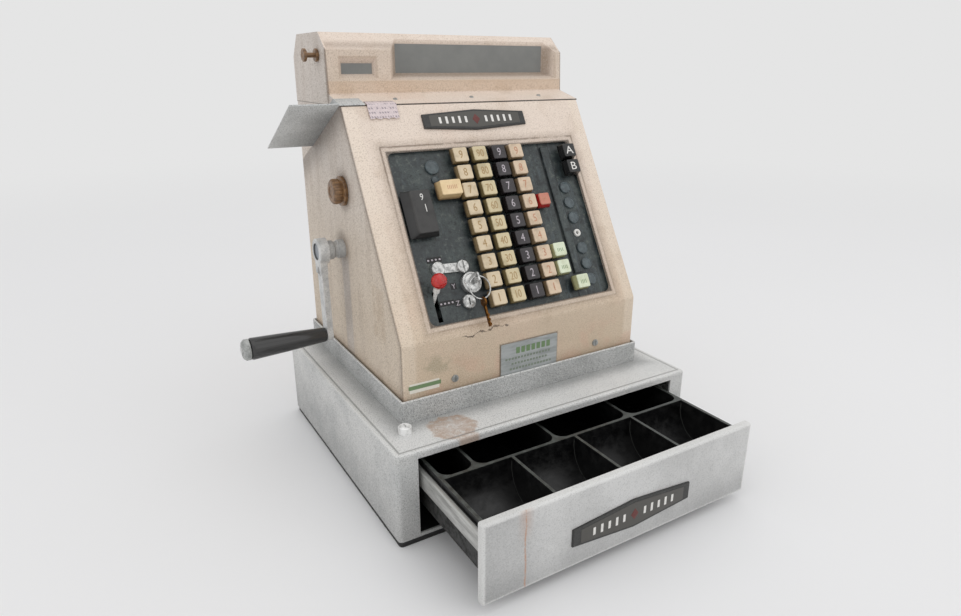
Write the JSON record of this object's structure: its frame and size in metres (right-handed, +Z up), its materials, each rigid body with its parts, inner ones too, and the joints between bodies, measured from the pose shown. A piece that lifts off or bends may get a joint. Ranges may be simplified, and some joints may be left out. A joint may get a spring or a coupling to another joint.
{
  "type": "cash register",
  "caption": "Hand-cranked mechanical cash register with a sloping keyboard, indicator head, receipt shelf and a drawer with coin cups.",
  "frame": {"origin": "centre of the cabinet's footprint, on the surface the register stands on", "axes": "+X to the operator's right, +Y away from the operator towards the customer, +Z up"},
  "size_m": [0.481, 0.4756, 0.496],
  "materials": {
    "case_paint": "satin, worn cream enamel",
    "head_paint": "satin, worn cream enamel",
    "cabinet_paint": "satin grey enamel",
    "collar_paint": "satin grey enamel",
    "drawer_paint": "satin grey enamel",
    "base_black": "matt",
    "panel_enamel": "gloss, worn",
    "badge_dark": "satin",
    "plate_grey": "brushed",
    "steel": "satin",
    "steel_sheet": "matt",
    "spring_steel": "oiled",
    "chrome": "polished, worn",
    "insert_plastic": "moulded, black",
    "tray_steel": "dull",
    "glass": "clear, dusty",
    "paper": "matt",
    "key_cream": "worn",
    "key_black": "worn",
    "key_red": "worn",
    "key_green": "worn",
    "ball_red": "polished",
    "bakelite": "polished brown",
    "grip_black": "polished",
    "crank_steel": "satin grey",
    "brass": "dull",
    "drum_white": "matt",
    "rubber": "matt"
  },
  "bodies": {
    "machine": {"base_plate": "base_black", "cabinet_shell": "cabinet_paint", "machine_collar": "collar_paint", "drawer_lock_housing": "chrome", "slide_channels": "steel", "ejector_spring": "spring_steel", "latch_bracket": "steel", "case_shell": "case_paint", "rear_cover": "case_paint", "case_screws": "steel", "info_plate": "plate_grey", "case_badge": "badge_dark", "head_shell": "head_paint", "window_panes": "glass", "rear_window_frame": "badge_dark", "receipt_shelf": "steel_sheet", "receipt_paper": "paper", "key_panel": "panel_enamel", "blanking_caps": "steel_sheet", "link_plate": "steel", "crank_bearing": "steel_sheet", "chassis_plates": "steel", "cross_rods": "steel", "bell": "brass"},
    "drawer": {"drawer_front": "drawer_paint", "drawer_tray": "tray_steel", "drawer_side_rails": "steel", "till_insert": "insert_plastic", "drawer_badge": "badge_dark"},
    "drawer_lock": {"drawer_lock_plug": "chrome"},
    "latch": {"drawer_latch": "steel"},
    "digit_column_1": {"digit_keys_1": "key_cream"},
    "digit_column_2": {"digit_keys_2": "key_cream"},
    "digit_column_3": {"digit_keys_3": "key_black"},
    "digit_column_4": {"digit_keys_4": "key_cream"},
    "register_bar_body": {"register_bar": "key_black"},
    "total_key_body": {"total_key": "key_cream"},
    "red_key_body": {"red_key": "key_red"},
    "green_key_1_body": {"green_key_1": "key_green"},
    "green_key_2_body": {"green_key_2": "key_green"},
    "green_key_3_body": {"green_key_3": "key_green"},
    "letter_key_a_body": {"letter_key_a": "key_black"},
    "letter_key_b_body": {"letter_key_b": "key_black"},
    "mode_lever": {"mode_lever_stem": "chrome", "mode_lever_knob": "ball_red"},
    "main_lock_body": {"main_lock": "chrome"},
    "lower_lock_body": {"lower_lock": "chrome"},
    "key_ring_body": {"key_ring": "steel"},
    "ring_key_body": {"ring_key": "brass"},
    "spool_knob_body": {"spool_knob": "bakelite"},
    "platen": {"platen_knob": "bakelite", "platen_roller": "rubber"},
    "crank": {"crank_shaft": "steel", "crank_arm": "crank_steel", "crank_pinion": "steel", "grip_cap": "steel"},
    "grip": {"crank_grip": "grip_black"},
    "cam": {"cam_gear": "steel"},
    "drums": {"amount_drums": "drum_white"},
    "roll": {"paper_roll": "paper"}
  },
  "joints": [
    {"name": "drawer_slide", "type": "slide", "parent": "machine", "child": "drawer", "axis": [0, -1, 0], "range_m": [-0.12, 0.12]},
    {"name": "drawer_lock_turn", "type": "hinge", "parent": "machine", "child": "drawer_lock", "pos_m": [-0.166, -0.134, 0.1], "axis": [0, 0, 1], "range_deg": [-90, 0]},
    {"name": "latch_drop", "type": "hinge", "parent": "machine", "child": "latch", "pos_m": [0, 0.12, 0.098], "axis": [1, 0, 0], "range_deg": [-12, 0]},
    {"name": "digit_column_1_press", "type": "slide", "parent": "machine", "child": "digit_column_1", "axis": [0, 0.8675, -0.4974], "range_m": [0, 0.0045], "stiffness_N_per_m": 420, "springref_m": -0.002},
    {"name": "digit_column_2_press", "type": "slide", "parent": "machine", "child": "digit_column_2", "axis": [0, 0.8675, -0.4974], "range_m": [0, 0.0045], "stiffness_N_per_m": 420, "springref_m": -0.002},
    {"name": "digit_column_3_press", "type": "slide", "parent": "machine", "child": "digit_column_3", "axis": [0, 0.8675, -0.4974], "range_m": [0, 0.0045], "stiffness_N_per_m": 420, "springref_m": -0.002},
    {"name": "digit_column_4_press", "type": "slide", "parent": "machine", "child": "digit_column_4", "axis": [0, 0.8675, -0.4974], "range_m": [0, 0.0045], "stiffness_N_per_m": 420, "springref_m": -0.002},
    {"name": "register_bar_press", "type": "slide", "parent": "machine", "child": "register_bar_body", "axis": [0, 0.8675, -0.4974], "range_m": [0, 0.0045], "stiffness_N_per_m": 350, "springref_m": -0.002},
    {"name": "total_key_press", "type": "slide", "parent": "machine", "child": "total_key_body", "axis": [0, 0.8675, -0.4974], "range_m": [0, 0.0045], "stiffness_N_per_m": 220, "springref_m": -0.002},
    {"name": "red_key_press", "type": "slide", "parent": "machine", "child": "red_key_body", "axis": [0, 0.8675, -0.4974], "range_m": [0, 0.0045], "stiffness_N_per_m": 220, "springref_m": -0.002},
    {"name": "green_key_1_press", "type": "slide", "parent": "machine", "child": "green_key_1_body", "axis": [0, 0.8675, -0.4974], "range_m": [0, 0.0045], "stiffness_N_per_m": 220, "springref_m": -0.002},
    {"name": "green_key_2_press", "type": "slide", "parent": "machine", "child": "green_key_2_body", "axis": [0, 0.8675, -0.4974], "range_m": [0, 0.0045], "stiffness_N_per_m": 220, "springref_m": -0.002},
    {"name": "green_key_3_press", "type": "slide", "parent": "machine", "child": "green_key_3_body", "axis": [0, 0.8675, -0.4974], "range_m": [0, 0.0045], "stiffness_N_per_m": 220, "springref_m": -0.002},
    {"name": "letter_key_a_press", "type": "slide", "parent": "machine", "child": "letter_key_a_body", "axis": [0, 0.8675, -0.4974], "range_m": [0, 0.0045], "stiffness_N_per_m": 220, "springref_m": -0.002},
    {"name": "letter_key_b_press", "type": "slide", "parent": "machine", "child": "letter_key_b_body", "axis": [0, 0.8675, -0.4974], "range_m": [0, 0.0045], "stiffness_N_per_m": 220, "springref_m": -0.002},
    {"name": "mode_lever_swing", "type": "hinge", "parent": "machine", "child": "mode_lever", "pos_m": [-0.105, -0.07505, 0.20261], "axis": [1, 0, 0], "range_deg": [0, 45]},
    {"name": "main_lock_turn", "type": "hinge", "parent": "machine", "child": "main_lock_body", "pos_m": [-0.0595, -0.08914, 0.23835], "axis": [0, -0.8675, 0.4974], "range_deg": [-40, 0]},
    {"name": "lower_lock_turn", "type": "hinge", "parent": "machine", "child": "lower_lock_body", "pos_m": [-0.0675, -0.09909, 0.221], "axis": [0, -0.8675, 0.4974], "range_deg": [0, 90]},
    {"name": "key_ring_swing", "type": "hinge", "parent": "main_lock_body", "child": "key_ring_body", "pos_m": [-0.0582, -0.09781, 0.24735], "axis": [0, -0.8675, 0.4974], "range_deg": [-10, 10]},
    {"name": "ring_key_swing", "type": "hinge", "parent": "key_ring_body", "child": "ring_key_body", "pos_m": [-0.0582, -0.11035, 0.22549], "axis": [0, -0.8675, 0.4974], "range_deg": [-12, 12]},
    {"name": "spool_knob_turn", "type": "hinge", "parent": "machine", "child": "spool_knob_body", "pos_m": [-0.166, 0.079, 0.472], "axis": [1, 0, 0], "continuous": true},
    {"name": "platen_turn", "type": "hinge", "parent": "machine", "child": "platen", "pos_m": [-0.15, 0.025, 0.33], "axis": [1, 0, 0], "continuous": true},
    {"name": "crank_turn", "type": "hinge", "parent": "machine", "child": "crank", "pos_m": [-0.17, 0.04, 0.261], "axis": [1, 0, 0], "continuous": true},
    {"name": "grip_spin", "type": "hinge", "parent": "crank", "child": "grip", "pos_m": [-0.235, 0.03477, 0.16114], "axis": [1, 0, 0], "continuous": true},
    {"name": "cam_gear_turn", "type": "hinge", "parent": "machine", "child": "cam", "pos_m": [-0.15, 0.09522, 0.20951], "axis": [1, 0, 0], "continuous": true},
    {"name": "drums_turn", "type": "hinge", "parent": "machine", "child": "drums", "pos_m": [0, 0.096, 0.464], "axis": [1, 0, 0], "continuous": true},
    {"name": "paper_roll_turn", "type": "hinge", "parent": "machine", "child": "roll", "pos_m": [-0.113, 0.108, 0.37], "axis": [1, 0, 0], "continuous": true}
  ],
  "couplings": [
    {"joint": "cam_gear_turn", "follows": "crank_turn", "ratio": -0.5}
  ]
}
